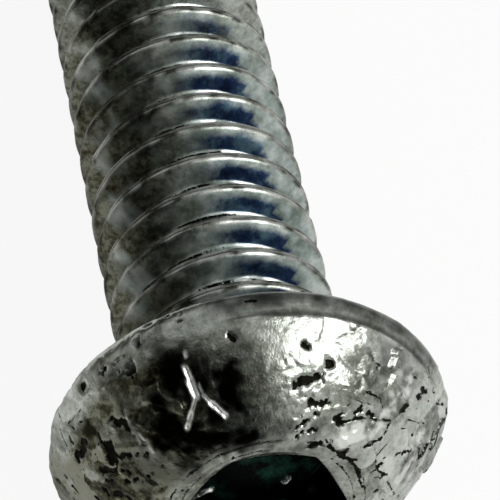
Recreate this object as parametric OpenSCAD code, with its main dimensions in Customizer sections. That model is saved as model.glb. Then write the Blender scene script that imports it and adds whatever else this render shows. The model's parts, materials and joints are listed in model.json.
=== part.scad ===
// Button head socket screw, 1/4 inch by 20 threads to the inch, one inch long.
// It is one piece of cold-forged steel: a domed head with a hexagon socket, a short
// plain neck and a rolled right-hand thread that runs from the neck to the tip.
// The screw lies on a table as it comes to rest, on the rim of its head and on a crest
// near its tip. The origin is on the table, under the middle of the screw's box, and
// +Y points from the head to the tip.

/* [Head] */
// Diameter of the head, in mm
head_d = 11.1; // [10:0.1:12]
// Height of the head above its bearing face, in mm
head_h = 3.1; // [2.9:0.1:3.4]
// Radius of the rounded rim of the head, in mm
rim_r = 0.43; // [0.2:0.01:0.7]
// Diameter of the flat ring round the socket, on top of the dome, in mm
crown_d = 5.4; // [5:0.1:6]

/* [Socket] */
// Width of the hexagon socket across its flats, in mm
socket_af = 3.97; // [3.8:0.01:4]
// Depth of the hexagon below the top of the head, in mm
socket_depth = 1.9; // [1.5:0.1:2]
// Depth of the cone that the punch leaves below the hexagon, in mm
socket_cone_h = 0.5; // [0.2:0.1:0.6]
// Diameter of the small countersink at the mouth of the socket, in mm
socket_mouth_d = 4.7; // [4.2:0.1:4.9]
// Depth of that countersink, in mm
socket_mouth_h = 0.2; // [0.1:0.05:0.3]
// Turn of the socket's first corner about the axis, in degrees from the +X side
socket_turn = 53; // [0:1:59]

/* [Shank] */
// Length from the bearing face of the head to the tip, in mm
shank_l = 25.4; // [16:0.1:40]
// Diameter of the plain neck under the head, in mm
neck_d = 5.5; // [5.2:0.1:5.8]
// Length of the plain neck, with its fillet, in mm
neck_l = 0.9; // [0.8:0.1:1.5]
// Step by which the rolled blank stands out from the neck at the thread's end, in mm
blank_step = 0.06; // [0.03:0.01:0.1]
// Radius of the fillet between the neck and the head, in mm
fillet_r = 0.6; // [0.45:0.05:0.7]

/* [Thread] */
// Diameter over the crests of the thread, in mm
thread_d = 6.35; // [6:0.01:6.5]
// Diameter at the roots of the thread, in mm
root_d = 4.95; // [4.8:0.01:5.1]
// Pitch of the thread, in mm
pitch = 1.27; // [1.2:0.01:1.5]
// Width of the crest, with its rounded corners, in mm
crest_w = 0.3; // [0.2:0.01:0.32]
// Size of the bevel that stands for each rounded corner of the crest, in mm
crest_bevel = 0.06; // [0.03:0.01:0.08]
// Length over which the thread grows to its full depth below the neck, in mm
runout_l = 1.3; // [0.8:0.1:2]
// Diameter of the flat end of the tip, in mm
tip_d = 4.8; // [4.4:0.1:5]
// Angle about the axis at which the thread starts at the tip, in degrees
thread_start = -130; // [-180:10:180]

/* [Hidden] */
steel = "lightslategray";

// Overlap that joins or cuts two solids cleanly
join_l = 0.3;
// Radius of the cone's mouth and of the countersink's inner edge, as a share of the
// distance from the axis to the socket's flats
cone_share = 0.96;
// Straight steps in one turn of the thread, and in the round stretches of the head
turn_steps = 36;
rim_steps = 6;
dome_steps = 14;
fillet_steps = 5;
$fn = 96;

head_r = head_d / 2;
crown_r = crown_d / 2;
neck_r = neck_d / 2;
blank_r = neck_r + blank_step;
thread_r = thread_d / 2;
root_r = root_d / 2;
tip_r = tip_d / 2;

// The dome is a ball centred on the axis that touches the rim's round from outside and
// passes through the edge of the crown. Its centre lies dome_z above the bearing face:
// (head_r - rim_r)^2 + (rim_r - dome_z)^2 = (dome_r - rim_r)^2 is solved for it by halving.
function dome_radius(z) = norm([crown_r, head_h - z]);
function dome_miss(z) = norm([head_r - rim_r, rim_r - z]) + rim_r - dome_radius(z);
function dome_centre(low, high, turns) =
    let (mid = (low + high) / 2)
    turns == 0 ? mid
    : dome_miss(mid) < 0 ? dome_centre(mid, high, turns - 1)
    : dome_centre(low, mid, turns - 1);
dome_z = dome_centre(-4 * head_h, 0, 40);
dome_r = dome_radius(dome_z);
// Angle above the bearing face at which the rim's round passes into the dome, and the
// angle at which the dome meets the crown
dome_from = atan2(rim_r - dome_z, head_r - rim_r);
dome_to = atan2(head_h - dome_z, crown_r);

// The flank is 30 degrees off square to the axis, so it takes this length along the axis
flank_w = (thread_r - root_r) * tan(30);
root_w = pitch - crest_w - 2 * flank_w;
// One pitch of the thread, starting with its root: the distance along the axis as a share
// of the pitch, and the height as a share of the thread's depth
bevel_w = crest_bevel * tan(30);
bevel_share = 1 - crest_bevel / (thread_r - root_r);
crest_from = root_w + flank_w + crest_bevel;
crest_to = pitch - flank_w - crest_bevel;
thread_profile = [
    [0, 0],
    [root_w / pitch, 0],
    [(root_w + flank_w - bevel_w) / pitch, bevel_share],
    [crest_from / pitch, 1],
    [crest_to / pitch, 1],
    [(pitch - flank_w + bevel_w) / pitch, bevel_share],
    [1, 0]
];
profile_points = len(thread_profile) - 1;

// The thread's strip is wound in straight steps. rise_steps is the number of steps in which
// the helix rises from the tip to the end of the thread, inside the neck
rise_steps = floor(turn_steps * (shank_l - neck_l) / pitch);
strip_steps = rise_steps + turn_steps;
thread_l = pitch * rise_steps / turn_steps;

// The screw rests on its rim and on the shank point that touches the table first as the tip
// comes down. The points of the shank's table side near the tip are tried one by one
tip_turns = 2;
table_step = round(turn_steps * ((270 - thread_start) % 360) / 360);
tilt = min([
    for (turn = [0 : tip_turns], point = [0 : profile_points - 1])
        let (place = strip_point(table_step + turn * turn_steps, point))
        rest_tilt(-place.z, norm([place.x, place.y]))
]);
axis_z = (head_r - rim_r) * cos(tilt) + rim_r - rim_r * sin(tilt);
front_l = head_h * cos(tilt) + crown_r * sin(tilt);
back_l = shank_l * cos(tilt) + tip_r * sin(tilt);

// Tilt at which a shank point at a distance from the bearing face and from the axis touches
// the table together with the rim of the head
function rest_tilt(distance, radius) =
    let (along = distance + rim_r, across = head_r - rim_r - radius)
    acos(-rim_r / norm([across, along])) - atan2(along, across);

// Points on an arc round a centre, from one angle to another
function arc(centre, radius, from, to, steps) = [
    for (i = [0 : steps])
        let (angle = from + (to - from) * i / steps)
        centre + radius * [cos(angle), sin(angle)]
];

// Head and neck as one turned outline, from the axis round the dome and back to the neck
function head_outline() = concat(
    [[0, head_h]],
    arc([0, dome_z], dome_r, dome_to, dome_from, dome_steps),
    arc([head_r - rim_r, rim_r], rim_r, dome_from, -90, rim_steps),
    arc([neck_r + fillet_r, -fillet_r], fillet_r, 90, 180, fillet_steps),
    [[neck_r, -neck_l - join_l], [0, -neck_l - join_l]]
);

// Height above the tip of the helix that starts there and is step steps along. Its first
// turn stays at the tip and its last one at the thread's end, so both ends are flat
function helix_z(step) = max(0, min(rise_steps, step - turn_steps)) * pitch / turn_steps;

// Radius of the shank at a height above the tip and a step of the winding. The root grows
// to the blank over the run-out, the crest shrinks to it over half of that, and the tip's
// bevel cuts both
function thread_radius(z, step) =
    let (share = z / pitch - step / turn_steps)
    let (height = lookup(share - floor(share), thread_profile))
    let (left = thread_l - z)
    let (root = blank_r + (root_r - blank_r) * min(1, left / runout_l))
    let (crest = blank_r + (thread_r - blank_r) * min(1, 2 * left / runout_l))
    min(tip_r + z, root + (crest - root) * height);

// A point of the winding: the strip between one turn of the helix and the next holds the
// points of the thread's profile
function strip_point(step, point) =
    let (low = helix_z(step), high = helix_z(step + turn_steps))
    let (z = low + (high - low) * thread_profile[point][0])
    let (angle = thread_start + 360 * step / turn_steps)
    let (radius = thread_radius(z, step))
    [radius * cos(angle), radius * sin(angle), z - shank_l];

// Number of a point in the list of all points. Where the strip has no height, at its start
// and its end, its points are one
function point_number(step, point) =
    point == profile_points ? point_number(step + turn_steps, 0)
    : step == 0 ? point_number(turn_steps, 0)
    : step == strip_steps + turn_steps ? point_number(strip_steps, 0)
    : step < strip_steps ? (step - 1) * profile_points + point
    : (strip_steps - 1) * profile_points + step - strip_steps;

// The threaded shank is one closed winding. Each four points of the strip make two
// triangles, and a flat face closes each end
module threaded_shank() {
    points = concat(
        [for (step = [1 : strip_steps - 1], point = [0 : profile_points - 1])
            strip_point(step, point)],
        [for (step = [strip_steps : strip_steps + turn_steps - 1]) strip_point(step, 0)]
    );
    strips = [
        for (step = [0 : strip_steps - 1], point = [0 : profile_points - 1])
            let (a = point_number(step, point), b = point_number(step, point + 1))
            let (c = point_number(step + 1, point + 1), d = point_number(step + 1, point))
            each [if (a != b) [a, b, c], if (c != d) [a, c, d]]
    ];
    tip_face = [for (step = [0 : turn_steps - 1]) point_number(step, 0)];
    end_face = [for (step = [turn_steps - 1 : -1 : 0]) point_number(strip_steps + step, 0)];
    polyhedron(points, concat(strips, [tip_face, end_face]));
}

// Head and neck, turned about the axis. The neck reaches into the threaded shank
module head_and_neck() {
    rotate_extrude() polygon(head_outline());
}

// The hexagon, the cone below it and the countersink at its mouth, as the solid cut away
module socket() {
    corner_r = socket_af / 2 / cos(30);
    cone_r = socket_af / 2 * cone_share;
    floor_z = head_h - socket_depth;
    rotate([0, 0, socket_turn]) translate([0, 0, floor_z])
        cylinder(h = socket_depth + join_l, r = corner_r, $fn = 6);
    rotate_extrude() polygon([
        [0, floor_z - socket_cone_h], [cone_r, floor_z], [cone_r, floor_z + join_l],
        [0, floor_z + join_l]
    ]);
    rotate_extrude() polygon([
        [0, head_h - socket_mouth_h], [cone_r, head_h - socket_mouth_h],
        [socket_mouth_d / 2, head_h], [socket_mouth_d / 2, head_h + join_l],
        [0, head_h + join_l]
    ]);
}

// The whole screw, standing on its tip, with its bearing face at the height zero
module upright_screw() {
    difference() {
        head_and_neck();
        socket();
    }
    threaded_shank();
}

module screw() {
    color(steel)
        translate([0, (front_l - back_l) / 2, axis_z])
        rotate([90 - tilt, 0, 0])
        upright_screw();
}

screw();
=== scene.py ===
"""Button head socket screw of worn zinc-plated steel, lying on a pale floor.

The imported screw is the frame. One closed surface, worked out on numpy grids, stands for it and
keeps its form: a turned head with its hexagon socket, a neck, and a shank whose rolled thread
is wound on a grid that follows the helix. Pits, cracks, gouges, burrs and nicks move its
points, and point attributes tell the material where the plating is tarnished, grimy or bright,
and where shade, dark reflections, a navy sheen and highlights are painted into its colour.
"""
import json
import math

import bpy
import numpy as np
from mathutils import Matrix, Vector


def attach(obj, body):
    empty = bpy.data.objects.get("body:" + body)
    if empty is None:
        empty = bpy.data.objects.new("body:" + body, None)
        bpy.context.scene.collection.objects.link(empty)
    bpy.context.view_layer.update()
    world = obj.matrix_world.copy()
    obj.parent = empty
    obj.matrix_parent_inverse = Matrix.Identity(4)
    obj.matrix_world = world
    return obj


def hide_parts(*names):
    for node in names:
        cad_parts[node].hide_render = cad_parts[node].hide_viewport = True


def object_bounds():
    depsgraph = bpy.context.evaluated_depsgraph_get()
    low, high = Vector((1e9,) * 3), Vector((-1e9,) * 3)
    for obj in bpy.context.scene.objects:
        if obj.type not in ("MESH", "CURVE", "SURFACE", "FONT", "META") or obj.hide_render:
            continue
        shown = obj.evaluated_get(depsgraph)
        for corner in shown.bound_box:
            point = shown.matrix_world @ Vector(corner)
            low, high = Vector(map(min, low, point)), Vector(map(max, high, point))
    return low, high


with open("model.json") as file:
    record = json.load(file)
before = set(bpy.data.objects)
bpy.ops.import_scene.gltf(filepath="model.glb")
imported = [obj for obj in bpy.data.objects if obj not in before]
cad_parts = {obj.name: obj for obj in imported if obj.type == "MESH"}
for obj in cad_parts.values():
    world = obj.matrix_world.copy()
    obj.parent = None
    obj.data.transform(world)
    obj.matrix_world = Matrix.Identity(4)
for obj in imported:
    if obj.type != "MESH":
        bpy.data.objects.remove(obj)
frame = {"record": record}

CAD_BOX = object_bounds()
MM = 0.001
NODE = "screw"
MOUNTS = {mount["name"]: mount for mount in frame["record"]["mounts"]}

# The screw's own axes, read from its mounts: x across, y up from the floor, z along the axis
# towards the head. Their origin is the middle of the bearing face under the head.
AXIS = -np.array(MOUNTS["bearing_face"]["axis"])
ACROSS = np.array([1.0, 0.0, 0.0])
ABOVE = np.cross(AXIS, ACROSS)
CROWN = np.array(MOUNTS["hex_socket"]["pos_m"])
TIP = np.array(MOUNTS["thread"]["pos_m"])
FACE = np.array(MOUNTS["bearing_face"]["pos_m"])

# Sizes of the screw in mm
HEAD_H = float((CROWN - FACE) @ AXIS) / MM
SHANK_L = float((FACE - TIP) @ AXIS) / MM
BEARING = CROWN - AXIS * HEAD_H * MM
HEAD_R = (CAD_BOX[1].x - CAD_BOX[0].x) / 2 / MM
THREAD_R = MOUNTS["thread"]["dims"]["r_mm"]
RIM_R = 0.43
CROWN_R = 2.7
SOCKET_FLAT = 1.985
SOCKET_DEPTH = MOUNTS["hex_socket"]["dims"]["length_mm"]
CONE_R = SOCKET_FLAT * 0.96
CONE_H = 0.5
SOCKET_TURN = math.radians(53)
MOUTH_R = 2.35
MOUTH_H = 0.2
NECK_R = 2.75
NECK_L = 0.9
BLANK_R = 2.81
FILLET_R = 0.6
ROOT_R = 2.475
PITCH = 1.27
RUNOUT_L = 1.3
TIP_R = 2.4
TIP_HOLLOW = 0.05
THREAD_START = math.radians(-130)

# One pitch of the thread: share of the pitch from the tip's side, share of the depth, and
# share of the seam that rolling leaves between the two lips of the crest
THREAD_ROWS = np.array([
    (0.0, 0.036, 0),
    (0.046, 0.008, 0),
    (0.10, 0.0, 0),
    (0.19, 0.01, 0),
    (0.26, 0.13, 0),
    (0.505, 0.915, 0),
    (0.53, 0.985, 0),
    (0.55, 1.0, 0),
    (0.585, 1.0, 1),
    (0.615, 1.0, 1),
    (0.635, 1.0, 0.1),
    (0.655, 1.0, 0),
    (0.69, 0.965, 0),
    (0.73, 0.86, 0),
    (0.83, 0.495, 0),
    (0.917, 0.179, 0),
    (0.936, 0.128, 0),
    (0.955, 0.092, 0),
    (0.977, 0.061, 0),
])

# Columns of the grids round the axis, which lie closer together on the side that faces up
HEAD_COLUMNS = 400
SHANK_EVERY = 4
UPPER_SIDE = math.radians(98)
CROWDING = 0.45
# Rows of the head's grid: points on each stretch of its outline
FILLET_POINTS = 8
FACE_POINTS = 6
RIM_POINTS = 18
DOME_POINTS = 82
CROWN_POINTS = 8
# Rows of the socket: shares of the way in across its mouth, down its walls, and the cone's
# radius, where they lie closer together among the burrs
MOUTH_SHARES = (0.25, 0.5, 0.75, 0.94)
WALL_SHARES = (0.015, 0.06, 0.2, 0.45, 0.7, 0.95, 1.0)
FLOOR_SHARE = 0.985
CONE_SHARES = (1.0, 0.97, 0.94, 0.91, 0.88, 0.85, 0.82, 0.79, 0.7, 0.4, 0.1)
TIP_SHARES = (0.85, 0.5, 0.15)
# Rounds in which the dome's circle and the points on the cone are found
HALVINGS = 50
CONE_PASSES = 8
# Rows of the head between which its wear sets in, from the fillet to the rim
WORN_ROWS = (8, 20)

# Camera. It stands towards the head's side and looks down on the screw, at this place from the
# middle of the bearing face, in mm
CAMERA_PLACE = np.array([-8.499, -49.742, 71.899])
CAMERA_AZIMUTH = math.radians(9.807)
CAMERA_ELEVATION = math.radians(51.826)
FOCAL_PIXELS = 3174
IMAGE_PIXELS = 500
SENSOR = 36.0
CLIP_START = 0.005

# Soft box: its direction from the bearing face and its roll in degrees, distance and size in
# mm, and power in watts
LAMP_AZIMUTH = 125
LAMP_ELEVATION = 37
LAMP_ROLL = -38
LAMP_DISTANCE = 250
LAMP_SIZE = (150, 112)
LAMP_POWER = 0.30
# Room: its tone, and soft patches in it as azimuth and elevation, the angles at which a patch
# is full and at which it ends, all in degrees, and its tone
ROOM_TONE = "b2b4b2"
ROOM_PATCHES = [
    (126, 12, 30, 78, "ecece8"),
    (-100, 8, 15, 55, "969690"),
    (-156, 20, 24, 46, "444843"),
    (-35, 5, 20, 50, "4a4a46"),
]
# Floor: half its width in metres, its paint, and the shares by which plain white covers the
# paint where the camera sees it and where the metal mirrors it
FLOOR_HALF = 0.6
FLOOR_PAINT = "f4f4f2"
FLOOR_WHITE = 0.91
MIRRORED_WHITE = 0.25

# Marks of wear by the pixels of the photograph: x and y of the two ends, and a width in mm
HEAD_PITS = [
    (303, 342, 309, 348, 0.13), (329, 363, 331, 366, 0.18), (296, 385, 318, 378, 0.24),
    (311, 403, 324, 403, 0.26), (337, 418, 338, 423, 0.22), (353, 413, 361, 410, 0.18),
    (369, 414, 373, 416, 0.14), (404, 394, 404, 399, 0.15), (403, 410, 408, 407, 0.26),
    (424, 389, 426, 391, 0.18), (413, 376, 416, 378, 0.12), (430, 368, 431, 377, 0.10),
    (296, 429, 308, 420, 0.08), (309, 431, 313, 430, 0.12), (396, 456, 404, 454, 0.09),
    (421, 449, 419, 468, 0.12), (375, 471, 382, 465, 0.10), (366, 445, 372, 442, 0.12),
    (341, 454, 346, 452, 0.14), (306, 451, 320, 443, 0.13), (294, 450, 297, 449, 0.10),
    (377, 492, 381, 490, 0.14), (401, 493, 404, 491, 0.10), (129, 374, 133, 367, 0.24),
    (100, 374, 104, 370, 0.20), (82, 388, 85, 386, 0.16), (68, 437, 71, 443, 0.13),
    (80, 457, 83, 443, 0.20), (74, 452, 77, 460, 0.16), (107, 447, 111, 461, 0.30),
    (103, 470, 112, 470, 0.24), (106, 482, 114, 482, 0.14), (104, 490, 107, 494, 0.14),
    (72, 486, 78, 493, 0.12), (116, 493, 127, 497, 0.26), (134, 480, 137, 479, 0.10),
    (114, 421, 126, 427, 0.28), (122, 456, 130, 454, 0.16), (123, 470, 130, 473, 0.14),
    (246, 300, 254, 298, 0.12), (136, 342, 140, 338, 0.16), (176, 320, 182, 320, 0.10),
    (230, 337, 233, 339, 0.16), (438, 405, 444, 404, 0.10), (440, 420, 445, 419, 0.10),
]
# Edges of plating that was smeared over the head, as fine dark lines
HEAD_CRACKS = [
    (343, 422, 358, 418, 0.10), (358, 418, 391, 421, 0.10), (391, 421, 388, 432, 0.09),
    (388, 432, 380, 440, 0.10), (380, 440, 364, 447, 0.12), (339, 424, 343, 436, 0.09),
    (414, 378, 405, 392, 0.07), (333, 459, 357, 460, 0.09), (411, 449, 402, 466, 0.07),
    (432, 432, 424, 455, 0.12), (424, 455, 417, 466, 0.09), (398, 480, 412, 466, 0.08),
    (397, 454, 411, 450, 0.10), (372, 472, 384, 464, 0.10), (356, 470, 362, 488, 0.09),
    (60, 430, 66, 446, 0.07), (112, 449, 122, 460, 0.09), (304, 452, 316, 446, 0.08),
    (440, 400, 437, 414, 0.06), (296, 437, 303, 431, 0.08), (326, 440, 334, 452, 0.08),
    (366, 392, 380, 398, 0.07), (380, 398, 384, 410, 0.08), (408, 420, 424, 424, 0.07),
    (346, 476, 352, 494, 0.08), (386, 480, 394, 494, 0.08), (424, 470, 415, 484, 0.07),
]
# Gouges with bright walls, and light scratches
GOUGES = [
    (185, 367, 190, 380, 0.15), (190, 380, 196, 397, 0.19), (196, 397, 191, 414, 0.10),
    (191, 414, 187, 428, 0.13), (199, 384, 204, 396, 0.06), (204, 396, 213, 405, 0.09),
    (211, 403, 226, 416, 0.14), (185, 351, 186, 356, 0.09),
]
SCRATCHES = [
    (124, 411, 132, 433, 0.06), (140, 435, 153, 452, 0.07), (136, 438, 140, 443, 0.08),
    (386, 383, 396, 372, 0.05), (406, 380, 414, 370, 0.08),
]
# Dark reflections painted black round the gouge, and patches of painted shade and paler patches
# of the head
DARK_REFLECTIONS = [
    (184, 376, 196, 436, 1.35), (200, 392, 230, 430, 1.25), (222, 372, 238, 404, 0.8),
    (160, 400, 170, 446, 0.8), (170, 432, 246, 442, 0.9),
]
SHADED_PATCHES = [
    (385, 350, 408, 372, 0.75), (142, 458, 180, 466, 1.25), (120, 400, 150, 430, 0.6),
    (318, 432, 300, 446, 0.5), (244, 398, 270, 436, 0.9), (244, 346, 262, 386, 0.7),
]
PALE_PATCHES = [
    (386, 414, 396, 400, 0.30), (344, 440, 360, 430, 0.40), (400, 478, 412, 460, 0.35),
    (404, 398, 410, 378, 0.25), (416, 448, 420, 436, 0.20), (372, 436, 380, 426, 0.22),
]
# Burrs at the bottom of the socket, and nicks in the crests of the thread
SOCKET_BURRS = [
    (199, 496, 204, 492, 0.11), (206, 491, 211, 490, 0.10), (284, 483, 289, 479, 0.11),
]
CREST_NICKS = [
    (297, 170, 303, 177, 0.30), (304, 206, 308, 212, 0.18), (70, 27, 72, 30, 0.20),
    (243, 42, 250, 45, 0.12), (195, 27, 200, 29, 0.12),
]
# How far a fine noise moves the edge of each kind of mark, as a share of its width
RAGGED_PITS = 0.5
RAGGED_CRACKS = 0.3
RAGGED_GOUGES = 0.12
RAGGED_SCRATCHES = 0.2
RAGGED_DARK_REFLECTIONS = 0.5
RAGGED_PATCHES = 0.6
RAGGED_BURRS = 0.3
RAGGED_NICKS = 0.4

# Depths and heights of the marks in mm, and the slope of a gouge's walls
PIT_DEPTH = 0.06
CRACK_DEPTH = 0.02
SCRATCH_DEPTH = 0.012
RING_DEPTH = 0.025
NICK_DEPTH = 0.12
SEAM_DEPTH = 0.045
BURR_HEIGHT = 0.07
GOUGE_SLOPE = 0.68

# Unevenness as rows of height, size and seed, the first two in mm
DOME_WAVES = [(0.014, 1.7, 11), (0.007, 0.7, 12)]
CRINKLES = [(0.0030, 0.17, 13), (0.0010, 0.10, 16)]
SHANK_WAVES = [(0.005, 0.5, 21), (0.008, 1.4, 22)]
CREST_WAVES = [(0.008, 0.35, 24), (0.005, 0.2, 27)]
KNOCKED_WAVES = [(0.022, 0.28, 34)]
ROOT_WAVES = [(0.008, 0.35, 36)]
# Clouds of tarnish, as rows of strength, size and seed
TARNISH_CLOUDS = [(1.0, 1.3, 71), (0.6, 0.5, 72)]
# Plates of smeared plating and their fine crinkle: size in mm, slope and seed
PLATES = (0.95, 0.10, 19)
SMALL_PLATES = (0.45, 0.12, 20)
CRINKLE_PLATES = (0.24, 0.085, 17)
# Small random pits: size in mm, seed, and the share of places that have one in the middle of
# the head, with what its right and its left side add to that
RANDOM_PITS = [(0.50, 51, 0.04, 0.18, 0.12), (0.24, 61, 0.05, 0.16, 0.14)]

# Places on the head in mm. The sides and heights are where a zone begins and where it is full
RIGHT_SIDE = (1.0, 3.2)
LEFT_SIDE = (1.4, 3.3)
CRINKLED_Z = (1.45, 1.75)
CALM_MIDDLE_X = -0.1
CRINKLED_ASIDE = (0.5, 1.0)
BARE_Z = (2.3, 2.0)
# The outer rim's painted shade, the light painted on the rim's left and the rim's upper left
# painted pale lie below these heights
OUTER_RIM_Z = (0.90, 0.65)
RIM_LIGHT_Z = (1.15, 0.85)
PALE_RIM_Z = (1.25, 0.95)
# The smooth band along the rim's right: the height at which it starts, its width, the slope by
# which it drops, and how far its start waves
RIM_BAND_Z = 0.94
RIM_BAND_W = 0.24
RIM_BAND_SLOPE = 0.17
RIM_BAND_WAVE = 0.04
# Turned rings round the socket: radius and half width
RINGS = [(MOUTH_R + 0.07, 0.05), (CROWN_R + 0.05, 0.06)]

# Zones round the axis in degrees, from 0 at the screw's right over 90 on top to 180 at its
# left: where each begins and ends, and how wide its soft flanks are. Most of them hold painted
# light and shade: shade on the rim's band and outer rim, light on the rim's left, glints on
# the lit roots, black strips, and the pale flecks and streak of the shank's left edge
ZONES = {
    "rim_band": (22, 94, 10),
    "rim_shade": (30, 84, 14),
    "outer_rim": (25, 96, 8),
    "left_rim": (98, 160, 10),
    "pale_rim": (92, 165, 12),
    "bare_dome": (50, 100, 6),
    "gleam": (56, 79, 4),
    "clean_roots": (56, 81, 7),
    "black_strips": (110, 136, 9),
    "flecks": (139, 151, 5),
    "streak": (140, 154, 6),
}
# Patches as noises: size in mm, seed, and the values at which a patch begins and is full
PATCHES = {
    "seams": (0.7, 20, 0.0, 0.25),
    "rings": (0.8, 23, -0.6, 0.0),
    "smears": (0.5, 29, -1.1, -0.3),
    "left_rim": (0.35, 38, -0.4, 0.4),
    "crest_seam": (0.8, 28, -0.7, 0.1),
    "lips": (0.4, 25, -0.3, 0.3),
    "gleam": (0.45, 33, 0.1, -0.1),
    "dull_roots": (0.45, 33, 0.1, 0.3),
    "clean_roots": (0.6, 30, -0.5, 0.1),
    "roots": (0.7, 26, -0.9, 0.1),
    "dirt": (0.7, 32, -0.3, 0.1),
    "black_strips": (0.7, 40, -0.3, 0.1),
    "crest_corners": (0.6, 35, -0.8, -0.2),
    "dull_lips": (0.3, 37, -0.1, 0.15),
    "flecks": (0.9, 74, 0.0, 0.2),
    "speckle": (0.25, 42, -0.5, 0.3),
    "streak": (0.9, 74, -0.2, 0.1),
    "silver_flecks": (0.42, 73, 0.35, 0.6),
}
# How strongly each kind of wear, painted shade and painted highlight shows in the attribute
# that it goes into
STRENGTH = {
    "pits": 1.0, "cracks": 0.85, "roots": 0.7, "nicks": 0.6,
    "smears": 1.0, "rim_shade": 0.8, "dull_patches": 0.58, "edge_line": 0.75, "outer_rim": 1.0,
    "dirt": 0.38, "black_strips": 0.8, "crest_corners": 0.85, "dull_lips": 0.85,
    "dull_roots": 0.7, "gouges": 1.0, "scratches": 0.5, "pale_patches": 0.85,
    "left_rim": 0.35, "lips": 0.5, "gleam": 1.0, "flecks": 0.26,
}
RING_GRIME = 0.62
# Roughness of the shank's plating against the head's, and the tone of plating with no plates
SHANK_ROUGHNESS = 0.4
PLAIN_TONE = 0.5

# Wear of the thread, and the shade and glints painted on it. The share of its depth at which
# its parts begin and are full, the share of the pitch where its lines begin and end with their
# soft flanks, angles in degrees, and distances in mm to the neck's end
LIPS = (0.93, 1.0)
# Glints painted on the roots where the lamp is mirrored, shade painted in the other roots and in
# dark patches over roots and lips, dark lines painted at the crests' hidden corners, black strips
# painted under the crests on the left, and shade painted on the shank's left side
GLEAMING_ROOTS = (0.13, 0.08)
SHADED_ROOTS = (0.11, 0.05)
SHADED_ROOT_PATCHES = (0.25, 0.1)
CREST_CORNER = (0.45, 0.578, 0.012)
SHADED_LIP = (0.61, 0.71, 0.01)
BLACK_STRIP = (0.715, 0.79, 0.03)
KNOCKED_TURN = (95, 125)
LEFT_SHADE_FROM = (100, 130)
LEFT_SHADE_TO = (175, 150)
LEFT_SHADE_FAR = (13, 16)
SPLIT_NEAR = (12, 7)
END_FADE = 0.3

# Tarnish, also painted shade on the head's left and crown, green tone and the painted navy
# sheen. Places in mm along x and z, and angles in degrees
TARNISHED_AND_SHADED_X = (0.9, -2.2)
HEAD_Z = (-0.2, 0.1)
CROWN_FADE = 0.3
FAR_SHANK_Z = (-13, -17)
GREEN_Z = (-16, -11)
# The painted navy sheen begins at an angle that falls with the depth in the thread, and fades
# over the top
SHEEN_TURN = 61
SHEEN_LEAN = 28
SHEEN_FADE = (112, 66)
SHEEN_DEPTH = (0.0, 0.35)
SHEEN_ROOT = (0.92, 0.84)
CREST_DEPTH = (0.16, 0.02)

# Patterns of the plating in mm
CLOUD_SIZE = 0.7143
MOTTLE_SIZE = 0.2
GRAIN_SIZE = 0.0625
BUMP_HEIGHT = 0.008
# Colours of each finish, from its dark to its light blotches
SILVER = [(0.50, "5f615b"), (0.64, "989c94"), (0.78, "c2c7c1"), (0.90, "dce0da")]
OLIVE = [(0.55, "211f15"), (0.66, "555443"), (0.76, "8a8b7d")]
GREEN = [(0.36, "6d7b74"), (0.5, "9ca8a4"), (0.64, "c8cfcd")]
# Colours of the painted navy sheen
NAVY = [(0.38, "1c2643"), (0.5, "2b3e5e"), (0.66, "5b7886")]
# Near-black teal painted into the socket as the shade of its recess
SOCKET_SHADE = [(0.48, "0a0d0c"), (0.66, "1b382f")]
# Colour of the painted shade and of the dark reflections painted on the screw
PAINTED_SHADE_COLOUR = "0c0b08"
# Grime in pits, cracks, rings and nicks, and the shade painted in the thread's roots
GRIME_AND_SHADE = "15140f"
# Bright metal of gouges, scratches, lips and burrs, and the painted glints and pale reflections
BRIGHT_AND_HIGHLIGHT = "ecedea"


def linear(code):
    """Linear RGBA of an sRGB hex colour such as "8a8d88"."""
    part = np.array([int(code[i:i + 2], 16) for i in (0, 2, 4)]) / 255
    low = part / 12.92
    high = ((part + 0.055) / 1.055) ** 2.4
    return (*np.where(part <= 0.04045, low, high).tolist(), 1.0)


def direction(azimuth, elevation):
    """Unit vector of a direction in radians, with azimuth 0 along +Y and turning to +X."""
    level = math.cos(elevation)
    return np.array([math.sin(azimuth) * level, math.cos(azimuth) * level, math.sin(elevation)])


def smooth_step(low, high, value):
    """0 at low, 1 at high and 3t^2 - 2t^3 between them. Low may be the larger one."""
    t = np.clip((value - low) / (high - low), 0, 1)
    return t * t * (3 - 2 * t)


def band(value, low, high, soft):
    """1 between low and high, with soft flanks outside them."""
    return smooth_step(low - soft, low, value) * (1 - smooth_step(high, high + soft, value))


def cube_keys(corner):
    """Numbers from 0 to 4095 that scatter the corners of a lattice of cubes."""
    key = corner[..., 0] * 73856093 ^ corner[..., 1] * 19349663 ^ corner[..., 2] * 83492791
    return key % 4096


def noise(points, size, seed):
    """Smooth noise from -1 to 1: random values at the corners of cubes of that size, blended
    with 3t^2 - 2t^3 in each direction."""
    table = np.random.default_rng(seed).uniform(-1, 1, 4096)
    scaled = points / size
    cell = np.floor(scaled).astype(np.int64)
    part = scaled - cell
    part = part * part * (3 - 2 * part)
    total = np.zeros(points.shape[:-1])
    for step in np.ndindex(2, 2, 2):
        share = np.prod(np.where(step, part, 1 - part), axis=-1)
        total += table[cube_keys(cell + np.array(step))] * share
    return total


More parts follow.
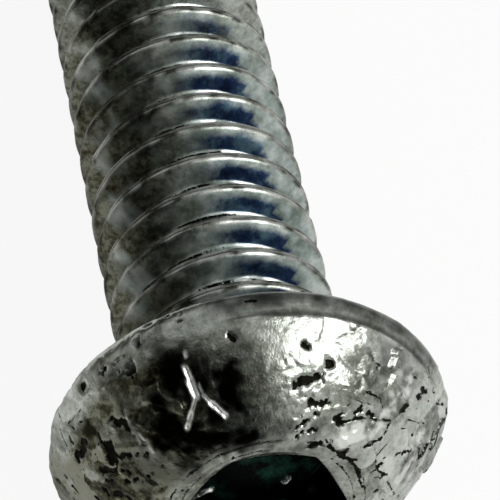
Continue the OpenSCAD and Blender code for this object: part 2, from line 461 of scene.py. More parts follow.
def cells(points, size, seed):
    """Nearest of the centres scattered one to each cube of that size: the offset from it, the
    gap to the border with the next cell as a share of the size, and four random values."""
    table = np.random.default_rng(seed).uniform(0, 1, (4096, 7))
    scaled = points / size
    cell = np.floor(scaled).astype(np.int64)
    first = np.full(points.shape[:-1], 9.0)
    second = first.copy()
    offset = np.zeros(points.shape)
    values = np.zeros((*points.shape[:-1], 4))
    for step in np.ndindex(3, 3, 3):
        corner = cell + np.array(step) - 1
        found = table[cube_keys(corner)]
        away = scaled - corner - found[..., :3]
        distance = np.linalg.norm(away, axis=-1)
        nearer = distance < first
        second = np.where(nearer, first, np.minimum(second, distance))
        first = np.where(nearer, distance, first)
        offset = np.where(nearer[..., None], away * size, offset)
        values = np.where(nearer[..., None], found[..., 3:], values)
    return offset, second - first, values


def waves(points, rows):
    """Sum of noises, each times its height."""
    return sum(height * noise(points, size, seed) for height, size, seed in rows)


def plates(points, size, slope, seed):
    """Flat plates of that size, each tilted at random: their height, which is slope * tilt *
    offset from the middle, the gap to the next plate, and a random tone of each."""
    offset, gap, values = cells(points, size, seed)
    height = slope * np.sum(offset * (2 * values[..., :3] - 1), axis=-1)
    return height, gap, values[..., 3]


def random_pits(points, size, seed, share):
    """Small ragged pits: the middles of those cells whose random value is below a share."""
    bend = np.stack([noise(points, 0.4 * size, seed + k) for k in (1, 2, 3)], -1)
    offset, _, values = cells(points + 0.25 * size * bend, size, seed)
    radius = size * (0.16 + 0.22 * values[..., 1])
    away = np.linalg.norm(offset, axis=-1)
    return (values[..., 0] < share) * (1 - smooth_step(0.3 * radius, 1.3 * radius, away))


def patches(points, name, more=0.0):
    """Share of patches of wear or of painted shade and highlight: a noise, and what is added to
    it, between two values.
    """
    size, seed, start, full = PATCHES[name]
    return smooth_step(start, full, noise(points, size, seed) + more)


def turn_of(points):
    """Angle of points round the axis in degrees."""
    return np.degrees(np.arctan2(points[..., 1], points[..., 0]))


def zone(points, name):
    """1 within a zone round the axis, with soft flanks."""
    return band(turn_of(points), *ZONES[name])


def strongest(**wear):
    """The strongest of several kinds of wear or of painted shade and highlight, each times its
    strength.
    """
    return np.maximum.reduce([STRENGTH[kind] * share for kind, share in wear.items()])


def to_world(local):
    """Points in the screw's own axes and mm, moved into the frame in metres."""
    turned = local[..., :1] * ACROSS + local[..., 1:2] * ABOVE + local[..., 2:] * AXIS
    return BEARING + MM * turned


def sight_line(pixel):
    """Start and direction, in the screw's own axes, of the camera's line through a pixel."""
    ahead = direction(CAMERA_AZIMUTH, -CAMERA_ELEVATION)
    right = np.cross(ahead, [0, 0, 1])
    right = right / np.linalg.norm(right)
    down = np.cross(ahead, right)
    aside = (np.array(pixel) - IMAGE_PIXELS / 2) / FOCAL_PIXELS
    line = ahead + aside[0] * right + aside[1] * down
    axes = np.array([ACROSS, ABOVE, AXIS])
    return axes @ CAMERA_PLACE, axes @ line / np.linalg.norm(line)


def dome_circle():
    """Centre height and radius of the circle that passes through the crown's edge and touches
    the rim's round, found by halving."""
    low, high = -4 * HEAD_H, 0.0
    for _ in range(HALVINGS):
        middle = (low + high) / 2
        radius = math.hypot(CROWN_R, HEAD_H - middle)
        reach = math.hypot(HEAD_R - RIM_R, RIM_R - middle) + RIM_R
        low, high = (middle, high) if reach < radius else (low, middle)
    return low, math.hypot(CROWN_R, HEAD_H - low)


DOME_Z, DOME_R = dome_circle()


def on_head(pixel):
    """Point of the dome that the camera sees at a pixel, in the screw's own axes."""
    start, line = sight_line(pixel)
    away = start - np.array([0, 0, DOME_Z])
    half = away @ line
    miss = max(0.0, half * half - (away @ away - DOME_R ** 2))
    return start - (half + math.sqrt(miss)) * line


def on_shank(pixel):
    """Point of the crests' cylinder that the camera sees at a pixel, or passes nearest."""
    start, line = sight_line(pixel)
    flat = line[:2] @ line[:2]
    half = start[:2] @ line[:2] / flat
    miss = max(0.0, half * half - (start[:2] @ start[:2] - THREAD_R ** 2) / flat)
    return start - (half + math.sqrt(miss)) * line


def on_socket(pixel):
    """Point of the socket's walls that the camera sees at a pixel or, where it sees past their
    lower ends, of the cone, found in a few passes."""
    start, line = sight_line(pixel)
    side = SOCKET_TURN + (np.arange(6) + 0.5) * math.pi / 3
    outward = np.stack([np.cos(side), np.sin(side)], 1)
    speed = outward @ line[:2]
    reach = (SOCKET_FLAT - outward @ start[:2]) / np.where(speed > 0, speed, 1e-9)
    point = start + reach[speed > 0].min() * line
    floor = HEAD_H - SOCKET_DEPTH
    if point[2] > floor:
        return point
    for _ in range(CONE_PASSES):
        drop = CONE_H * (1 - np.hypot(point[0], point[1]) / CONE_R)
        point = start + (floor - drop - start[2]) / line[2] * line
    return point


def line_distance(points, start, end):
    """Distance of points from the line between start and end."""
    along = end - start
    share = np.clip((points - start) @ along / max(along @ along, 1e-9), 0, 1)
    return np.linalg.norm(points - start - share[..., None] * along, axis=-1)


def stroke(points, start, end, width, ragged):
    """Share of a mark along the line from start to end, by the distance from the line: 1 on
    the line, 0.5 at half the width, and 0 past it. A fine noise moves its edge by up to a
    share of the width."""
    edge = noise(points, 0.5 * width + 0.04, 31) + 0.6 * noise(points, 0.2 * width + 0.03, 32)
    away = line_distance(points, start, end) + ragged * width * edge
    return 1 - smooth_step(0.1 * width, 0.9 * width, away)


def strokes(points, marks, place, ragged):
    """The strongest of several strokes. Each mark is the pixels of its two ends, x and y, and
    its width in mm, and place puts a pixel on the surface."""
    total = np.zeros(points.shape[:-1])
    for x0, y0, x1, y1, width in marks:
        mark = stroke(points, place((x0, y0)), place((x1, y1)), width, ragged)
        total = np.maximum(total, mark)
    return total


def grooves(points, marks, place):
    """Depth in mm of V-shaped grooves: slope * (0.6 * width - distance from the line)."""
    total = np.zeros(points.shape[:-1])
    for x0, y0, x1, y1, width in marks:
        away = line_distance(points, place((x0, y0)), place((x1, y1)))
        away = away + RAGGED_GOUGES * width * noise(points, 0.12, 33)
        total = np.maximum(total, GOUGE_SLOPE * (0.6 * width - away))
    return total


def column_angles():
    """Angles of the columns: t - crowding * sin(t - upper side), so that the step between
    them is smallest on the upper side."""
    t = np.arange(HEAD_COLUMNS) * 2 * math.pi / HEAD_COLUMNS
    return t - CROWDING * np.sin(t - UPPER_SIDE)


def arc(centre, radius, start, end, count):
    """count points on an arc in the (distance from the axis, height) plane."""
    angle = np.radians(np.linspace(start, end, count))
    return np.stack([centre[0] + radius * np.cos(angle), centre[1] + radius * np.sin(angle)], 1)


def head_rows():
    """The turned outline as rows of (distance from the axis, height): neck, fillet, bearing
    face, rim and dome, up to the edge of the crown."""
    rim_end = math.degrees(math.atan2(RIM_R - DOME_Z, HEAD_R - RIM_R))
    dome_end = math.degrees(math.atan2(HEAD_H - DOME_Z, CROWN_R))
    neck = np.array([[NECK_R, -NECK_L], [NECK_R, -(NECK_L + FILLET_R) / 2]])
    fillet = arc((NECK_R + FILLET_R, -FILLET_R), FILLET_R, 180, 90, FILLET_POINTS)
    face = np.linspace([NECK_R + FILLET_R, 0], [HEAD_R - RIM_R, 0], FACE_POINTS)[1:-1]
    rim = arc((HEAD_R - RIM_R, RIM_R), RIM_R, -90, rim_end, RIM_POINTS)
    dome = arc((0, DOME_Z), DOME_R, rim_end, dome_end, DOME_POINTS)[1:]
    return np.concatenate([neck, fillet, face, rim, dome])


def socket_rows(angle):
    """Crown, countersink, socket walls, floor and cone as rows of (distance, height) for
    every column: the hexagon's distance is flat / cos(angle from the middle of its side)."""
    side = np.mod(angle - SOCKET_TURN, math.pi / 3) - math.pi / 6
    hexagon = SOCKET_FLAT / np.cos(side)
    slope = MOUTH_H / (MOUTH_R - CONE_R)
    edge = HEAD_H - slope * (MOUTH_R - hexagon)
    floor = HEAD_H - SOCKET_DEPTH
    whole = np.ones_like(angle)
    crown = np.linspace(CROWN_R, MOUTH_R, CROWN_POINTS)[1:]
    rows = [(whole * distance, whole * HEAD_H) for distance in crown]
    for share in MOUTH_SHARES:
        distance = MOUTH_R + (hexagon - MOUTH_R) * share
        rows.append((distance, HEAD_H - slope * (MOUTH_R - distance)))
    for share in WALL_SHARES:
        rows.append((hexagon, edge + (floor - edge) * share))
    rows.append((hexagon * FLOOR_SHARE, whole * floor))
    for share in CONE_SHARES:
        rows.append((whole * CONE_R * share, floor - whole * CONE_H * (1 - share)))
    return np.array(rows)


def grid_points(rows, angle):
    """Rows of (distance, height), turned round the axis into points."""
    distance, height = rows[:, 0], rows[:, 1]
    return np.stack([distance * np.cos(angle), distance * np.sin(angle), height], -1)


def grid_normals(points):
    """Unit normals of a closed grid: the cross product of the steps along the column and
    along the row."""
    down = np.gradient(points, axis=0)
    along = np.roll(points, -1, axis=1) - np.roll(points, 1, axis=1)
    normal = np.cross(along, down)
    return normal / np.maximum(np.linalg.norm(normal, axis=-1, keepdims=True), 1e-12)


def head_sides(points):
    """How far points lie towards the head's right and towards its left, each from 0 to 1."""
    return smooth_step(*RIGHT_SIDE, points[..., 0]), smooth_step(*LEFT_SIDE, -points[..., 0])


def rim_band(points):
    """The smooth band along the rim's right side, where the dome drops to it in a crisp edge:
    how far in mm points lie below the edge, its share round the axis, and the band's share."""
    beside = zone(points, "rim_band")
    edge = RIM_BAND_Z + RIM_BAND_WAVE * noise(points, 0.9, 41)
    step = np.clip(edge - points[..., 2], 0, RIM_BAND_W)
    return step, beside, beside * smooth_step(0, 0.03, step)


def crinkle(points):
    """Height in mm of the plating's crinkle, which is noise and small tilted plates. It is
    fainter low on the head and in its middle."""
    x, z = points[..., 0], points[..., 2]
    height = waves(points, CRINKLES) + plates(points, *CRINKLE_PLATES)[0]
    height = height * (0.45 + 0.55 * smooth_step(*CRINKLED_Z, z + 0.2 * noise(points, 0.5, 14)))
    return height * (0.2 + 0.8 * smooth_step(*CRINKLED_ASIDE, np.abs(x - CALM_MIDDLE_X)))


def smeared_plates(points):
    """Plates of smeared plating in two sizes, with bent edges: their height in mm, the gap
    between the large ones, and their tone."""
    bent = points + 0.12 * noise(points, 0.35, 18)[..., None]
    height, gap, tone = plates(bent, *PLATES)
    small_height, _, small_tone = plates(bent, *SMALL_PLATES)
    return height + 0.5 * small_height, gap, 0.7 * tone + 0.3 * small_tone


def head_pits(points, calm):
    """Random pits of two sizes, more of them at the head's sides and none where it is bare or
    calm, and the larger pits of the photograph."""
    right, left = head_sides(points)
    total = np.zeros(points.shape[:-1])
    for size, seed, share, more_right, more_left in RANDOM_PITS:
        share = share + more_right * right + more_left * left
        total = np.maximum(total, random_pits(points, size, seed, share))
    bare = zone(points, "bare_dome") * smooth_step(*BARE_Z, points[..., 2])
    total = total * (1 - np.maximum(calm, bare))
    return np.maximum(total, strokes(points, HEAD_PITS, on_head, RAGGED_PITS))


def turned_rings(points):
    """Share of the rings round the socket: exp(-((distance - radius) / half width)^2)."""
    distance = np.hypot(points[..., 0], points[..., 1])
    total = sum(np.exp(-((distance - radius) / half) ** 2) for radius, half in RINGS)
    return total * patches(points, "rings", 0.5 * head_sides(points)[0])


def head_painted_shade(points):
    """Share of painted shade on the head: the strongest of the dark reflections and patches of
    shade painted on it, and of the shade painted on the smooth band, along its edge and on the
    outer rim below it."""
    step, beside, rim = rim_band(points)
    outer = zone(points, "outer_rim") * smooth_step(*OUTER_RIM_Z, points[..., 2])
    return strongest(
        smears=strokes(points, DARK_REFLECTIONS, on_head, RAGGED_DARK_REFLECTIONS) * patches(points, "smears"),
        rim_shade=rim * zone(points, "rim_shade") * smooth_step(0.30, 0.06, step),
        dull_patches=strokes(points, SHADED_PATCHES, on_head, RAGGED_PATCHES),
        edge_line=np.exp(-((step - 0.03) / 0.025) ** 2) * beside,
        outer_rim=outer * (0.7 + 0.25 * noise(points, 0.4, 39)))


def head_bright_and_highlight(points, scratches):
    """Share of bright metal and painted highlight on the head: the strongest of gouges, scratches
    and pale patches, and of the light painted on the rim's left side."""
    left_rim = zone(points, "left_rim") * smooth_step(*RIM_LIGHT_Z, points[..., 2])
    return strongest(
        gouges=strokes(points, GOUGES, on_head, RAGGED_GOUGES),
        scratches=scratches,
        pale_patches=strokes(points, PALE_PATCHES, on_head, RAGGED_PATCHES),
        left_rim=left_rim * patches(points, "left_rim"))


def head_skin(points):
    """Relief of the head over its smooth form in mm, which is its waves, roughness * (crinkle
    + plates), less the depths of its marks, and the shares that the material needs."""
    right, left = head_sides(points)
    step, beside, rim = rim_band(points)
    distance = np.hypot(points[..., 0], points[..., 1])
    crown = 1 - smooth_step(CROWN_R - 0.05, CROWN_R + 0.05, distance)
    calm = np.maximum(rim, 0.5 * crown)
    rough = 1 - 0.85 * calm
    raised, gap, tone = smeared_plates(points)
    seams = (1 - smooth_step(0.0, 0.07, gap)) * patches(points, "seams")
    seams = seams * np.maximum(right, left) * (1 - calm)
    cracks = np.maximum(seams, strokes(points, HEAD_CRACKS, on_head, RAGGED_CRACKS))
    pits = head_pits(points, calm)
    scratches = strokes(points, SCRATCHES, on_head, RAGGED_SCRATCHES)
    rings = turned_rings(points)
    uneven = crinkle(points) * (1 - 0.4 * right) + raised * np.maximum(right, 0.5 * left)
    relief = waves(points, DOME_WAVES) + rough * uneven
    relief = relief - PIT_DEPTH * pits - CRACK_DEPTH * cracks
    relief = relief - SCRATCH_DEPTH * scratches - grooves(points, GOUGES, on_head)
    relief = relief - RIM_BAND_SLOPE * step * beside - RING_DEPTH * rings
    grime = np.clip(strongest(pits=pits, cracks=cracks) + RING_GRIME * rings, 0, 1)
    tone = PLAIN_TONE + (tone - PLAIN_TONE) * np.maximum(right, left) * rough
    return relief, {"grime": grime, "bright": head_bright_and_highlight(points, scratches), "rough": rough,
                    "stain": head_painted_shade(points), "tone": tone}


def head_grid(angle):
    """Head and socket as one grid, moved along its normals by the relief outside the socket,
    with burrs in the socket and the head's own shares for the material."""
    turned = head_rows()
    outline = np.repeat(turned[:, :, None], len(angle), axis=2)
    rows = np.concatenate([outline, socket_rows(angle)])
    points = grid_points(rows, angle)
    normals = grid_normals(points)
    row = np.arange(len(rows))
    inner = len(turned) + CROWN_POINTS
    worn = smooth_step(*WORN_ROWS, row) * (1 - smooth_step(inner - 2, inner + 3, row))
    relief, shares = head_skin(points)
    points = points + normals * (relief * worn[:, None])[..., None]
    socket = np.repeat(smooth_step(inner, inner + 4, row)[:, None], len(angle), axis=1)
    shares["grime"] = shares["grime"] * worn[:, None]
    burrs = socket * strokes(points, SOCKET_BURRS, on_socket, RAGGED_BURRS)
    points[..., 2] += BURR_HEIGHT * burrs
    shares["bright"] = np.maximum(shares["bright"] * (1 - socket), burrs)
    return points, {**shares, "socket": socket, "depth": 0 * socket}


def thread_row(share, column):
    """A column of the thread's profile, its height or its seam, at a share of the pitch."""
    return np.interp(share, THREAD_ROWS[:, 0], THREAD_ROWS[:, column], period=1)


def thread_grid(angle):
    """The thread on a grid that climbs with it: height = pitch * (turn + angle / 2 pi + share),
    and distance = root + (crest - root) * form. Points past the tip or the neck's end are held
    there and merged afterwards. Gives the points, their height over the tip and their place in
    the pitch."""
    turns = int(SHANK_L / PITCH) + 3
    share = (np.arange(-2, turns)[:, None] + THREAD_ROWS[:, 0]).ravel()
    rise = (angle - THREAD_START) / (2 * math.pi)
    height = PITCH * (share[:, None] + rise)
    height = np.clip(height, 0, SHANK_L - NECK_L)
    left = SHANK_L - NECK_L - height
    root = BLANK_R + (ROOT_R - BLANK_R) * np.clip(left / RUNOUT_L, 0, 1)
    crest = BLANK_R + (THREAD_R - BLANK_R) * np.clip(2 * left / RUNOUT_L, 0, 1)
    place = height / PITCH - rise
    distance = np.minimum(TIP_R + height, root + (crest - root) * thread_row(place, 1))
    return grid_points(np.stack([distance, height - SHANK_L], 1), angle), height, place


def shank_relief(points, form, seam, left):
    """Relief of the shank over its smooth form in mm: waves, those of the crests and the roots
    by the thread's form, less the seam, which is deepest near the neck."""
    knocked = smooth_step(*KNOCKED_TURN, turn_of(points))
    relief = waves(points, SHANK_WAVES) + form * waves(points, CREST_WAVES)
    relief = relief + form * knocked * waves(points, KNOCKED_WAVES)
    relief = relief + (1 - form) * waves(points, ROOT_WAVES)
    split = (0.35 + 0.65 * smooth_step(*SPLIT_NEAR, left)) * (1 - 0.5 * knocked)
    return relief - SEAM_DEPTH * seam * split * patches(points, "crest_seam")


def shank_bright_and_highlight(points, form, seam):
    """Share of bright metal and painted highlight on the shank: the strongest of the crests'
    lips, the glints painted on the roots, and the pale flecks painted along the left edge as
    its reflection."""
    knocked = smooth_step(*KNOCKED_TURN, turn_of(points))
    gleam = smooth_step(*GLEAMING_ROOTS, form) * zone(points, "gleam")
    flecks = zone(points, "flecks") * patches(points, "flecks")
    return strongest(
        lips=smooth_step(*LIPS, form) * (1 - seam) * patches(points, "lips", -0.3 * knocked),
        gleam=gleam * patches(points, "gleam"),
        flecks=flecks * patches(points, "speckle"))


def shank_painted_shade(points, form, place, left, inside):
    """Share of painted shade on the shank: the strongest of the shade painted on its left side,
    the black strips painted under the crests and, away from the ends, the dark lines painted at
    the crests' corners and the dark patches painted over lips and roots."""
    turn = turn_of(points)
    dirt = smooth_step(*LEFT_SHADE_FROM, turn) * smooth_step(*LEFT_SHADE_TO, turn)
    strips = zone(points, "black_strips") * band(place, *BLACK_STRIP)
    corners = band(place, *CREST_CORNER) * patches(points, "crest_corners")
    return strongest(
        dirt=dirt * patches(points, "dirt", 0.5 * smooth_step(*LEFT_SHADE_FAR, left)),
        black_strips=strips * patches(points, "black_strips"),
        crest_corners=inside * corners,
        dull_lips=inside * band(place, *SHADED_LIP) * patches(points, "dull_lips"),
        dull_roots=inside * smooth_step(*SHADED_ROOT_PATCHES, form) * patches(points, "dull_roots"))


def shank_grid(angle):
    """The thread's grid, moved outward by its relief, and its shares for the material."""
    points, height, place = thread_grid(angle)
    left = SHANK_L - NECK_L - height
    form, seam = thread_row(place, 1), thread_row(place, 2)
    inside = smooth_step(0, END_FADE, height) * smooth_step(0, END_FADE, left)
    nicks = strokes(points, CREST_NICKS, on_shank, RAGGED_NICKS)
    relief = shank_relief(points, form, seam, left) - NICK_DEPTH * nicks
    outward = np.stack([np.cos(angle), np.sin(angle), 0 * angle], -1)
    points = points + outward * (relief * inside)[..., None]
    # Roots are painted black as shade, except on the lit roots where the glints are painted
    lit = zone(points, "clean_roots") * patches(points, "clean_roots")
    roots = smooth_step(*SHADED_ROOTS, form) * patches(points, "roots") * (1 - lit)
    stain = shank_painted_shade(points, form, np.mod(place, 1), left, inside)
    return points, {"grime": strongest(roots=roots, nicks=nicks), "stain": stain,
                    "bright": shank_bright_and_highlight(points, form, seam), "depth": 1 - form,
                    "rough": np.full_like(form, SHANK_ROUGHNESS), "socket": 0 * form,
                    "tone": np.full_like(form, PLAIN_TONE)}


def grid_faces(rows, columns, first=0, shift=0):
    """Quads of a closed grid. The last column meets the first one, shift rows higher."""
    row = np.arange(rows - 1)[:, None]
    column = np.arange(columns)[None, :]
    after = np.where(column + 1 < columns, column + 1, 0)
    lift = np.where(column + 1 < columns, 0, shift)
    near = row * columns + column
    far = (row + lift) * columns + after
    quads = np.stack([near, far, far + columns, near + columns], -1)
    return first + quads[row + lift + 1 < rows]


def fan(ring, tops):
    """Triangles, as quads whose last corner is given twice, from a ring to its tops."""
    return np.stack([ring, np.roll(ring, -1), tops, tops], 1)


def neck_joint(last, first):
    """Faces between the shank's last ring and the neck's first ring, whose columns are
    SHANK_EVERY times as many: half of them meet each of the two nearest shank points."""
    ring = last + np.arange(HEAD_COLUMNS // SHANK_EVERY)
    after = np.roll(ring, -1)
    fine = first + np.arange(HEAD_COLUMNS).reshape(-1, SHANK_EVERY)
    fine = np.concatenate([fine, np.roll(fine[:, :1], -1, axis=0)], axis=1)
    half = SHANK_EVERY // 2
    parts = [np.stack([ring, after, fine[:, half], fine[:, half]], 1)]
    for k in range(SHANK_EVERY):
        near = ring if k < half else after
        parts.append(np.stack([near, fine[:, k + 1], fine[:, k], fine[:, k]], 1))
    return np.concatenate(parts)


def merged(points, quads):
    """Points that lie in one place made one. A quad with two equal neighbours becomes a
    triangle, and one with fewer than three different points is left out."""
    _, keep, number = np.unique(np.round(points, 6), axis=0, return_index=True,
                                return_inverse=True)
    number = number.ravel()
    corner = number[quads]
    twice = corner == np.roll(corner, 1, axis=1)
    crossed = (corner[:, 0] == corner[:, 2]) | (corner[:, 1] == corner[:, 3])
    four = corner[~twice.any(axis=1) & ~crossed]
    three = (twice.sum(axis=1) == 1) & ~crossed
    triangles = corner[three][~twice[three]].reshape(-1, 3)
    return keep, four.tolist() + triangles.tolist()


def screw_mesh():
    """The whole screw as one closed surface: the shank's grid, closed at the tip by rings and
    joined to the neck, then the head's grid and the bottom of its socket."""
    angle = column_angles()
    shank, shank_shares = shank_grid(angle[::SHANK_EVERY])
    head, head_shares = head_grid(angle)
    rows, columns = shank.shape[:2]
    first_head = rows * columns
    first_ring = first_head + head.shape[0] * HEAD_COLUMNS
    rings = np.array(TIP_SHARES)[:, None, None]
    tip = shank[0] * np.concatenate([rings, rings, rings * 0 + 1], -1)
    tip[..., 2] += TIP_HOLLOW * (1 - rings[..., 0])
    ends = np.array([[0, 0, TIP_HOLLOW - SHANK_L], [0, 0, HEAD_H - SOCKET_DEPTH - CONE_H]])
    points = np.concatenate([part.reshape(-1, 3) for part in (shank, head, tip, ends)])
    tip_pole = np.full(columns, len(points) - 2)
    socket_pole = np.full(HEAD_COLUMNS, len(points) - 1)
    last_ring = first_ring + (len(TIP_SHARES) - 1) * columns + np.arange(columns)
    tip_quads = grid_faces(len(TIP_SHARES), columns, first_ring)[:, ::-1]
    outer = np.arange(columns)
    inner = first_ring + outer
    bottom = first_ring - HEAD_COLUMNS + np.arange(HEAD_COLUMNS)
    quads = np.concatenate([
        grid_faces(rows, columns, 0, len(THREAD_ROWS)),
        grid_faces(head.shape[0], HEAD_COLUMNS, first_head),
        np.stack([inner, np.roll(inner, -1), np.roll(outer, -1), outer], 1),
        tip_quads,
        fan(last_ring, tip_pole)[:, ::-1],
        neck_joint((rows - 1) * columns, first_head),
        fan(bottom, socket_pole),
    ])
    shares = {}
    for key in head_shares:
        shares[key] = np.zeros(len(points))
        shares[key][:first_head] = shank_shares[key].ravel()
        shares[key][first_head:first_ring] = head_shares[key].ravel()
    keep, faces = merged(points, quads)
    shares = {key: values[keep] for key, values in shares.items()}
    return points[keep], faces, shares


def weathering(points, depth):
    """Shares of olive tarnish, which is also painted shade on the head's left and its crown, of
    the plating's green tone and of the painted navy sheen, by where a point lies on the screw and
    how deep in the thread."""
    x, z = points[:, 0], points[:, 2]
    turn = turn_of(points)
    cloud = waves(points, TARNISH_CLOUDS)
    on_dome = smooth_step(*HEAD_Z, z)
    crown = on_dome * smooth_step(CROWN_R + CROWN_FADE, CROWN_R, np.hypot(x, points[:, 1]))
    # The rim's upper left is painted pale: the tarnish and shade are taken off it
    pale_rim = on_dome * smooth_step(*PALE_RIM_Z, z + 0.1 * cloud) * zone(points, "pale_rim")
    # Olive tarnish and painted shade, darker towards the head's left and on the crown
    tarnish = smooth_step(*TARNISHED_AND_SHADED_X, x + 0.7 * cloud)
    tarnish = np.maximum(tarnish, 0.5 * crown) * (1 - pale_rim) * (1 - 0.5 * crown)
    tarnish = tarnish * (1 - 0.35 * smooth_step(*FAR_SHANK_Z, z))
    # A pale streak painted along the shank's left edge as a reflection
    streak = zone(points, "streak") * (1 - on_dome) * patches(points, "streak")
    tarnish = tarnish * (1 - 0.35 * patches(points, "silver_flecks")) * (1 - 0.9 * streak)
    near_head = (1 - on_dome) * smooth_step(*GREEN_Z, z + cloud)
    # The painted navy sheen, on the upper right of the shank near the head
    edge = SHEEN_TURN - SHEEN_LEAN * depth + 3 * noise(points, 0.5, 75)
    film = smooth_step(edge - 2, edge + 2, turn) * smooth_step(*SHEEN_FADE, turn + 8 * cloud)
    film = near_head * film * smooth_step(*SHEEN_DEPTH, depth + 0.15 * cloud)
    film = film * smooth_step(*SHEEN_ROOT, depth)
    crest = (1 - on_dome) * smooth_step(*CREST_DEPTH, depth)
    tarnish = np.maximum(tarnish, 0.5 * crest * smooth_step(-0.6, 0.5, cloud))
    green = near_head * (1 - 0.5 * tarnish) * (1 - 0.8 * crest)
    shares = {"tarnish": tarnish, "green": green, "film": film}
    return {key: np.clip(value, 0, 1) for key, value in shares.items()}


def add_piece(name, points, faces, shares):
    """A smooth mesh object at the origin, with its place in its points."""
    mesh = bpy.data.meshes.new(name)
    mesh.from_pydata(to_world(points).tolist(), [], faces)
    mesh.shade_smooth()
    for key, values in shares.items():
        layer = mesh.attributes.new(key, "FLOAT", "POINT")
        layer.data.foreach_set("value", values.astype(np.float32))
    mesh.validate()
    piece = bpy.data.objects.new(name, mesh)
    bpy.context.scene.collection.objects.link(piece)
    return piece


def add(tree, kind, settings=None, links=None):
    """Adds a node, sets its properties by name or its sockets by name or number, and links."""
    node = tree.nodes.new(kind)
    for key, value in (settings or {}).items():
        if isinstance(key, str) and hasattr(node, key):
            setattr(node, key, value)
        else:
            node.inputs[key].default_value = value
    for key, source in (links or {}).items():
        tree.links.new(source, node.inputs[key])
    return node


def ramp(tree, source, stops):
    """A colour ramp from (place, hex colour) stops."""
    node = add(tree, "ShaderNodeValToRGB", links={"Fac": source})
    elements = node.color_ramp.elements
    while len(elements) < len(stops):
        elements.new(0.5)
    for element, (place, code) in zip(elements, stops):
        element.position = place
        element.color = linear(code)
    return node.outputs["Color"]


def blend(tree, share, colour, over):
    """A share of a colour over another. It is a node's output or a hex colour."""
    settings, links = {"data_type": "RGBA"}, {0: share, 6: colour}
    if isinstance(over, str):
        settings[7] = linear(over)
    else:
        links[7] = over
    return add(tree, "ShaderNodeMix", settings, links).outputs[2]


def grain_noise(tree, place, size, detail, roughness):
    """Noise whose cells are of a size in mm: its scale is 1 / size in metres."""
    settings = {"Scale": 1 / (size * MM), "Detail": detail, "Roughness": roughness}
    return add(tree, "ShaderNodeTexNoise", settings, {"Vector": place}).outputs["Fac"]


def plus(tree, base, factor, value):
    """base + factor * value"""
    return add(tree, "ShaderNodeMath", {"operation": "MULTIPLY_ADD", 1: factor},
               {0: value, 2: base}).outputs["Value"]


def mapped(tree, value, start, end, low=0.0, high=1.0):
    """A value between start and end, brought to between low and high."""
    settings = {"From Min": start, "From Max": end, "To Min": low, "To Max": high}
    return add(tree, "ShaderNodeMapRange", settings, {"Value": value}).outputs["Result"]


def zinc_plated_steel():
    """Blue-passivated zinc, electroplated on cold-forged steel and knocked about: a dull silver
    with a fine crystalline grain. Tarnish turns it olive, grime blackens pits and cracks, and
    knocked edges show bright metal. Painted into the colour as well: shade on the left, in the
    thread's roots and in the socket, dark reflections, a navy sheen, and glints and pale
    reflections."""
    material = bpy.data.materials.new("zinc_plated_steel")
    material.use_nodes = True
    tree = material.node_tree
    tree.nodes.clear()
    place = add(tree, "ShaderNodeTexCoord").outputs["Object"]
    share = {}
    for key in ("grime", "bright", "rough", "socket", "stain", "tone", "tarnish", "green",
                "film"):
        share[key] = add(tree, "ShaderNodeAttribute", {"attribute_name": key}).outputs["Fac"]
    cloud = grain_noise(tree, place, CLOUD_SIZE, 5.0, 0.62)
    mottle = grain_noise(tree, place, MOTTLE_SIZE, 4.0, 0.72)
    grain = grain_noise(tree, place, GRAIN_SIZE, 3.0, 0.6)
    # Blotches of both sizes, shifted by the tone of each plate
    blotch = add(tree, "ShaderNodeMix", {"data_type": "FLOAT", 0: 0.52},
                 {2: cloud, 3: mottle}).outputs[0]
    blotch = plus(tree, blotch, 0.40, share["tone"])
    # The painted navy sheen's edge is broken up by the mottle. Grime and the roots' painted shade
    # end in a ragged edge: its share, the mottle and the grain together pass a threshold
    share["film"] = mapped(tree, plus(tree, share["film"], 0.8, mottle), 0.62, 1.15)
    ragged = plus(tree, plus(tree, share["grime"], 0.9, mottle), 0.8, grain)
    share["grime"] = mapped(tree, ragged, 1.32, 1.44)
    colour = ramp(tree, blotch, SILVER)
    # Over the silver go the green tone, tarnish with its painted shade, the painted navy sheen,
    # the painted shade and dark reflections, grime with the roots' painted shade, the socket's
    # painted shade, and bright metal with the painted glints and pale reflections
    for key, over in (("green", ramp(tree, cloud, GREEN)), ("tarnish", ramp(tree, blotch, OLIVE)),
                      ("film", ramp(tree, cloud, NAVY)), ("stain", PAINTED_SHADE_COLOUR), ("grime", GRIME_AND_SHADE),
                      ("socket", ramp(tree, cloud, SOCKET_SHADE)), ("bright", BRIGHT_AND_HIGHLIGHT)):
        colour = blend(tree, share[key], colour, over)
    # Tarnish with its painted shade, the green tone, grime with the roots' painted shade, and
    # bare metal with the painted highlights make the finish duller, and the painted navy sheen
    # makes it glossier
    dullness = mapped(tree, mottle, 0.35, 0.65, 0.12, 0.22)
    for key, more in (("tarnish", 0.10), ("green", 0.24), ("grime", 0.3), ("film", -0.10),
                      ("bright", 0.08)):
        dullness = plus(tree, dullness, more, share[key])
    fine = add(tree, "ShaderNodeMath", {"operation": "MULTIPLY"},
               {0: grain, 1: share["rough"]}).outputs["Value"]
    bump = add(tree, "ShaderNodeBump", {"Strength": 1.0, "Distance": BUMP_HEIGHT * MM},
               {"Height": fine}).outputs["Normal"]
    shader = add(tree, "ShaderNodeBsdfPrincipled", {"Metallic": 1.0},
                 {"Base Color": colour, "Roughness": dullness, "Normal": bump})
    add(tree, "ShaderNodeOutputMaterial", links={"Surface": shader.outputs["BSDF"]})
    return material


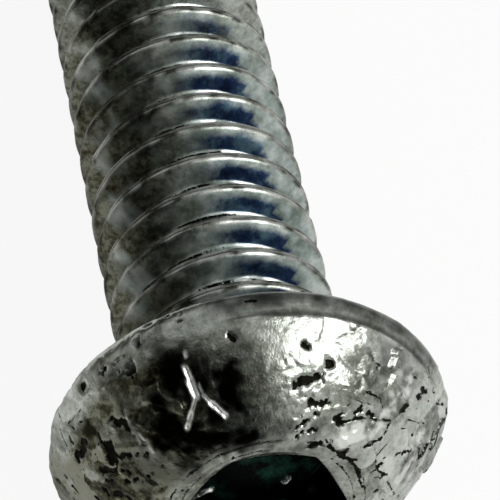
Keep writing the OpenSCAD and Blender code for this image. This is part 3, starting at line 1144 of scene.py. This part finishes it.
def pale_board():
    """A matt painted board. Seen straight it is mostly plain white, and the metal mirrors a
    share of that white. The rest of it is painted and takes the screw's shadow."""
    material = bpy.data.materials.new("pale_board")
    material.use_nodes = True
    tree = material.node_tree
    tree.nodes.clear()
    paint = add(tree, "ShaderNodeBsdfDiffuse", {"Color": linear(FLOOR_PAINT)}).outputs["BSDF"]
    white = add(tree, "ShaderNodeEmission", {"Color": linear("ffffff"), "Strength": 1.0})
    path = add(tree, "ShaderNodeLightPath")
    seen = add(tree, "ShaderNodeMath", {"operation": "MULTIPLY", 1: FLOOR_WHITE},
               {0: path.outputs["Is Camera Ray"]}).outputs["Value"]
    for kind in ("Is Glossy Ray", "Is Transmission Ray"):
        seen = plus(tree, seen, MIRRORED_WHITE, path.outputs[kind])
    mix = add(tree, "ShaderNodeMixShader", links={0: seen, 1: paint,
                                                  2: white.outputs["Emission"]})
    add(tree, "ShaderNodeOutputMaterial", links={"Surface": mix.outputs["Shader"]})
    return material


def add_camera():
    """The photograph's view: a long lens, level across."""
    data = bpy.data.cameras.new("camera")
    data.sensor_width = SENSOR
    data.lens = SENSOR * FOCAL_PIXELS / IMAGE_PIXELS
    data.clip_start = CLIP_START
    camera = bpy.data.objects.new("camera", data)
    camera.location = Vector(BEARING + CAMERA_PLACE * MM)
    looks = Vector(direction(CAMERA_AZIMUTH, -CAMERA_ELEVATION))
    camera.rotation_euler = looks.to_track_quat("-Z", "Y").to_euler()
    bpy.context.scene.collection.objects.link(camera)
    bpy.context.scene.camera = camera


def add_floor():
    """A pale floor that reaches far past the screw."""
    half = FLOOR_HALF
    mesh = bpy.data.meshes.new("floor")
    mesh.from_pydata([(-half, -half, 0), (half, -half, 0), (half, half, 0), (-half, half, 0)],
                     [], [(0, 1, 2, 3)])
    floor = bpy.data.objects.new("floor", mesh)
    mesh.materials.append(pale_board())
    bpy.context.scene.collection.objects.link(floor)


def add_lamp():
    """The soft box, turned towards the screw and then rolled."""
    data = bpy.data.lights.new("key", "AREA")
    data.shape = "RECTANGLE"
    data.size, data.size_y = LAMP_SIZE[0] * MM, LAMP_SIZE[1] * MM
    data.energy = LAMP_POWER
    lamp = bpy.data.objects.new("key", data)
    away = Vector(direction(math.radians(LAMP_AZIMUTH), math.radians(LAMP_ELEVATION)))
    lamp.location = Vector(BEARING) + away * LAMP_DISTANCE * MM
    lamp.rotation_euler = (-away).to_track_quat("-Z", "Y").to_euler()
    lamp.rotation_euler.rotate_axis("Z", math.radians(LAMP_ROLL))
    bpy.context.scene.collection.objects.link(lamp)


def add_world():
    """A grey room with a pale side on the right, a darker left and a dark front."""
    world = bpy.data.worlds.new("room")
    world.use_nodes = True
    tree = world.node_tree
    way = add(tree, "ShaderNodeTexCoord").outputs["Generated"]
    tone = add(tree, "ShaderNodeRGB")
    tone.outputs[0].default_value = linear(ROOM_TONE)
    colour = tone.outputs[0]
    for azimuth, elevation, full, end, code in ROOM_PATCHES:
        axis = direction(math.radians(azimuth), math.radians(elevation))
        near = add(tree, "ShaderNodeVectorMath", {"operation": "DOT_PRODUCT", 1: Vector(axis)},
                   {0: way}).outputs["Value"]
        share = add(tree, "ShaderNodeMapRange",
                    {"interpolation_type": "SMOOTHSTEP", "From Min": math.cos(math.radians(end)),
                     "From Max": math.cos(math.radians(full))}, {"Value": near}).outputs["Result"]
        colour = blend(tree, share, colour, code)
    tree.links.new(colour, tree.nodes["Background"].inputs["Color"])
    bpy.context.scene.world = world


bpy.context.scene.view_settings.view_transform = "Standard"
add_camera()
add_floor()
add_world()
add_lamp()

points, faces, shares = screw_mesh()
shares.update(weathering(points, shares.pop("depth")))
screw = add_piece("screw_skin", points, faces, shares)
screw.data.materials.append(zinc_plated_steel())
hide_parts(NODE)
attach(screw, "root")
